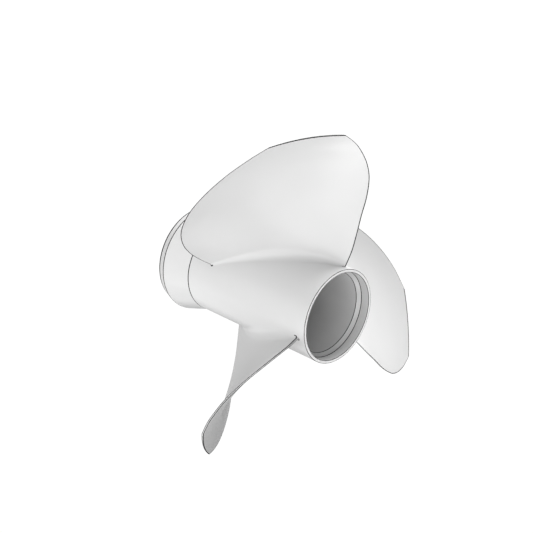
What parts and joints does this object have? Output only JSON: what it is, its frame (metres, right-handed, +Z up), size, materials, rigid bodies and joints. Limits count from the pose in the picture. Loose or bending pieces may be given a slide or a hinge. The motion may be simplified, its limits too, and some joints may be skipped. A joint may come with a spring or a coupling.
{
  "type": "boat propeller with through-hub exhaust",
  "caption": "Left-hand boat propeller with wide skewed blades on an open barrel hub, a flared forward collar, and a splined sleeve in a rubber bushing.",
  "frame": {"origin": "on the shaft line, in the plane of the sleeve's forward end, where the shaft's thrust washer bears", "axes": "+X aft along the shaft line, towards the open counterbored end of the barrel; +Z up; blade_1 stands up along +Z"},
  "size_m": [0.2272, 0.3712, 0.3498],
  "materials": {
    "hub_paint": "pale grey satin paint on aluminium",
    "blade_paint": "pale grey satin paint on aluminium",
    "bushing_rubber": "matte black moulded rubber",
    "sleeve_steel": "machined steel"
  },
  "bodies": {
    "root": {"barrel": "hub_paint", "flared_collar": "hub_paint", "blade_1": "blade_paint", "blade_2": "blade_paint", "blade_3": "blade_paint", "inner_hub": "hub_paint", "web_1": "hub_paint", "web_2": "hub_paint", "web_3": "hub_paint", "drive_bushing": "bushing_rubber", "drive_sleeve": "sleeve_steel"}
  },
  "joints": []
}
